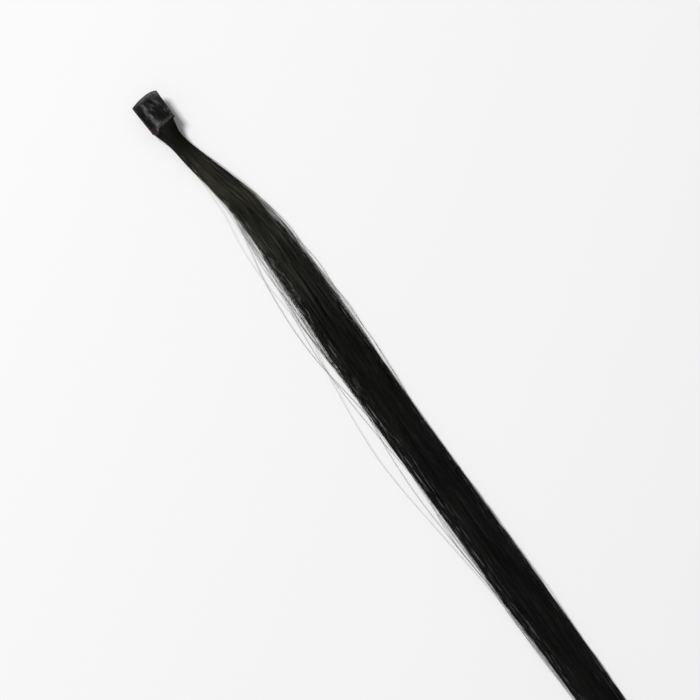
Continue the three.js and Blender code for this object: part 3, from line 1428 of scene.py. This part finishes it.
@dataclass
class HairLock:
    """The lock: some hundreds of hairs in wisps, with loose hairs along its edges.

    Attributes:
        form: Outer form of the lock.
        hair_count: Number of hairs, apart from the loose ones.
        scatter: How far hairs stray from an even spread over a section.
        thickness: Thickness of a hair.
        thickness_share: Finest and coarsest hair, as shares of this thickness.
        runs: Points along a hair: first and last share of its length, and number, for each run.
        layers: Names of the layers, from the lowest.
        lengths: Where the hairs start and end.
        zones: Parts of the lock.
        wisps: How the hairs are gathered.
        straying: How single hairs stray.
        sheen: How light the hairs are, with their painted sheen and glints.
        loose: The loose hairs.
        tubes: How hairs become meshes.
        seed: Start of the random numbers.
        finish: The hair.
    """

    form: LockForm
    hair_count: int = 780
    scatter: float = 0.04
    thickness: float = 0.078
    thickness_share: Span = (0.85, 1.15)
    runs: tuple[tuple[float, float, int], ...] = ((0.0, 0.06, 13), (0.07, 0.26, 20), (0.275, 1.0, 50))
    layers: tuple[str, ...] = ("hair_under", "hair_middle", "hair_upper")
    lengths: HairLength = HairLength()
    zones: Zones = Zones()
    wisps: Wisps = Wisps()
    straying: Straying = Straying()
    sheen: Sheen = Sheen()
    loose: LooseHairs = LooseHairs()
    tubes: HairTubes = HairTubes()
    seed: int = 24
    finish: HairFinish = HairFinish()

    def build(self, strand: StrandFrame) -> list[bpy.types.Object]:
        """Builds and dresses the hairs, a piece for each layer and one for the loose hairs.

        Args:
            strand: Where the strand lies.

        Returns:
            The pieces.
        """
        draw = np.random.default_rng(self.seed)
        material = self.finish.material()
        homes = self.form.homes(self.hair_count)
        homes = homes + draw.normal(0.0, self.scatter, homes.shape)
        homes = np.column_stack((np.clip(homes[:, 0], -1.0, 1.0), np.clip(homes[:, 1], 0.0, 1.0)))
        paths, marks = self._paths(homes, draw)
        layer = np.clip((homes[:, 1] * len(self.layers)).astype(int), 0, len(self.layers) - 1)
        meshes = []
        for number, name in enumerate(self.layers):
            chosen = layer == number
            radius = self.thickness / 2 * draw.uniform(*self.thickness_share, np.count_nonzero(chosen))
            marked = {mark: values[chosen] for mark, values in marks.items()}
            meshes.append(self.tubes.mesh(name, strand, paths[chosen], marked, radius))
        loose = self.loose.paths(self.form, self.lengths, self.zones.free, draw)
        meshes.append(self.tubes.mesh("hair_loose", strand, *loose))
        return [finish_piece(mesh, material, LOCK_NODE) for mesh in meshes]

    def _paths(self, homes: np.ndarray, draw: np.random.Generator) -> tuple[np.ndarray, Marks]:
        """Routes the hairs of the lock, gathered in wisps.

        Args:
            homes: Each hair's place in a section.
            draw: Source of random numbers.

        Returns:
            A path for each hair in strand millimetres, and the marks at its points.
        """
        zones, wisps, straying = self.zones, self.wisps, self.straying
        home_across, home_up = homes[:, :1], homes[:, 1:]
        middles = self.form.homes(wisps.count)
        wisp = wisps.nearest(homes, middles)
        shares = np.concatenate([np.linspace(*run) for run in self.runs])
        along = self.lengths.along(shares, len(homes), draw)
        free = zones.free.share(along)
        loosened = zones.loosened(along)
        edge = zones.edge.share(home_across)
        upper = zones.upper.share(home_up)
        wisp_along = np.broadcast_to(along[0], (wisps.count, along.shape[1]))
        sway = wisps.sway.heights(wisp_along, draw)[wisp]
        pinch = wisps.pinch.heights(wisp_along, draw)[wisp]
        ripple = wisps.ripple.heights(wisp_along, draw)[wisp]
        rise = wisps.rise.heights(wisp_along, draw)[wisp]
        shine = wisps.shine.heights(wisp_along, draw)[wisp]
        stir = straying.stir.heights(along, draw)
        fray = straying.fray.heights(along, draw)
        lift = straying.lift.heights(along, draw)
        drift = draw.normal(0.0, straying.drift, (len(homes), 1))
        drift = drift * (along / self.lengths.end - straying.drift_pivot)
        pull = free * (wisps.gather + pinch) + wisps.end_gather * wisps.end_rise.share(along)
        across = home_across + pull * (middles[wisp, :1] - home_across) + free * drift
        height = home_up + wisps.gather_up * pull * (middles[wisp, 1:] - home_up)
        height = height + free * lift + loosened * upper * rise
        shift = free * (sway + stir + edge * (straying.fray_size * fray - straying.edge_out))
        shift = shift + loosened * (upper * ripple + straying.loosened_fray * edge * fray)
        points = self.form.points(along, np.clip(across, -1.0, 1.0), np.clip(height, 0.0, 1.0), shift)
        return points, self.sheen.marks(zones, homes, along, shine, draw)


@dataclass(frozen=True)
class Softbox:
    """A round soft light that points at the strand.

    Attributes:
        name: Its name.
        azimuth: Its direction round the strand in degrees; 0 is towards -Y.
        elevation: Its height above the table in degrees.
        distance: Its distance in metres.
        size: Its diameter in metres.
        power: Its power in watts.
    """

    name: str
    azimuth: float
    elevation: float
    distance: float
    size: float
    power: float


@dataclass
class Studio:
    """Pale table, soft overhead light and a camera that looks almost straight down.

    Attributes:
        strand: Where the strand lies.
        azimuth: Direction of the camera round the strand in degrees; 0 is towards -Y.
        elevation: Height of the camera above the table in degrees.
        target: Place that the camera and the lights point at, in strand millimetres.
        distance: Distance of the camera from it, in metres.
        lens: Focal length of the camera.
        table_size: Side of the table, in metres.
        lamps: The lights.
        sky: Colour of the light from all round.
        sky_strength: Strength of that light.
        finish: The table's finish.
    """

    strand: StrandFrame
    azimuth: float = 54.84
    elevation: float = 80.0
    target: Triple = (74.03, 5.60, 0.0)
    distance: float = 0.4861
    lens: float = 100.0
    table_size: float = 6.0
    lamps: tuple[Softbox, ...] = (
        Softbox("key", azimuth=-58.0, elevation=54.0, distance=2.6, size=0.92, power=61.0),
    )
    sky: Colour = (1.0, 1.0, 1.0)
    sky_strength: float = 0.30
    finish: TableFinish = TableFinish()

    def build(self) -> None:
        """Makes the table, the light, the surroundings and the camera."""
        self._table()
        for lamp in self.lamps:
            self._light(lamp)
        self._sky()
        self._camera()
        bpy.context.scene.view_settings.view_transform = "Standard"

    @staticmethod
    def _towards(azimuth: float, elevation: float) -> Vector:
        """Works out the direction to a place round the strand.

        Args:
            azimuth: Angle round the strand in degrees; 0 is towards -Y.
            elevation: Angle above the table in degrees.

        Returns:
            The direction.
        """
        turn, tilt = math.radians(azimuth), math.radians(elevation)
        level = math.cos(tilt)
        return Vector((math.sin(turn) * level, -math.cos(turn) * level, math.sin(tilt)))

    def _aim(self, thing: bpy.types.Object, away: Vector, distance: float) -> None:
        """Puts a camera or light at a distance from the target and points it there.

        Args:
            thing: Camera or light.
            away: Direction from the target.
            distance: Distance in metres.
        """
        thing.location = Vector(self.strand.place(np.array(self.target))) + away * distance
        thing.rotation_mode = "QUATERNION"
        thing.rotation_quaternion = (-away).to_track_quat("-Z", "Y")
        bpy.context.collection.objects.link(thing)

    def _table(self) -> None:
        """Makes the table."""
        top = bmesh.new()
        bmesh.ops.create_grid(top, x_segments=1, y_segments=1, size=self.table_size / 2)
        mesh = bpy.data.meshes.new("table")
        top.to_mesh(mesh)
        top.free()
        mesh.materials.append(self.finish.material())
        table = bpy.data.objects.new("table", mesh)
        bpy.context.collection.objects.link(table)

    def _light(self, lamp: Softbox) -> None:
        """Makes a soft light.

        Args:
            lamp: Its place, size and power.
        """
        data = bpy.data.lights.new(lamp.name, "AREA")
        data.shape = "DISK"
        data.size = lamp.size
        data.energy = lamp.power
        light = bpy.data.objects.new(lamp.name, data)
        self._aim(light, self._towards(lamp.azimuth, lamp.elevation), lamp.distance)

    def _sky(self) -> None:
        """Makes the even light from all round."""
        world = bpy.data.worlds.new("surroundings")
        world.use_nodes = True
        background = world.node_tree.nodes["Background"]
        background.inputs["Color"].default_value = with_alpha(self.sky)
        background.inputs["Strength"].default_value = self.sky_strength
        bpy.context.scene.world = world

    def _camera(self) -> None:
        """Makes the camera and gives it to the scene."""
        data = bpy.data.cameras.new("camera")
        data.lens = self.lens
        camera = bpy.data.objects.new("camera", data)
        self._aim(camera, self._towards(self.azimuth, self.elevation), self.distance)
        bpy.context.scene.camera = camera


def main() -> None:
    """Builds the studio, the tip and the hairs, and reports each piece."""
    logging.basicConfig(level=logging.INFO, format="%(name)s: %(message)s")
    gutter = Gutter()
    strand = StrandFrame.from_tip(gutter.width)
    Studio(strand).build()
    pieces = [KeratinTip(gutter).build(strand), *HairLock(LockForm(gutter)).build(strand)]
    for piece in pieces:
        log.info("%s has %d faces", piece.name, len(piece.data.polygons))


if __name__ == "__main__":
    main()
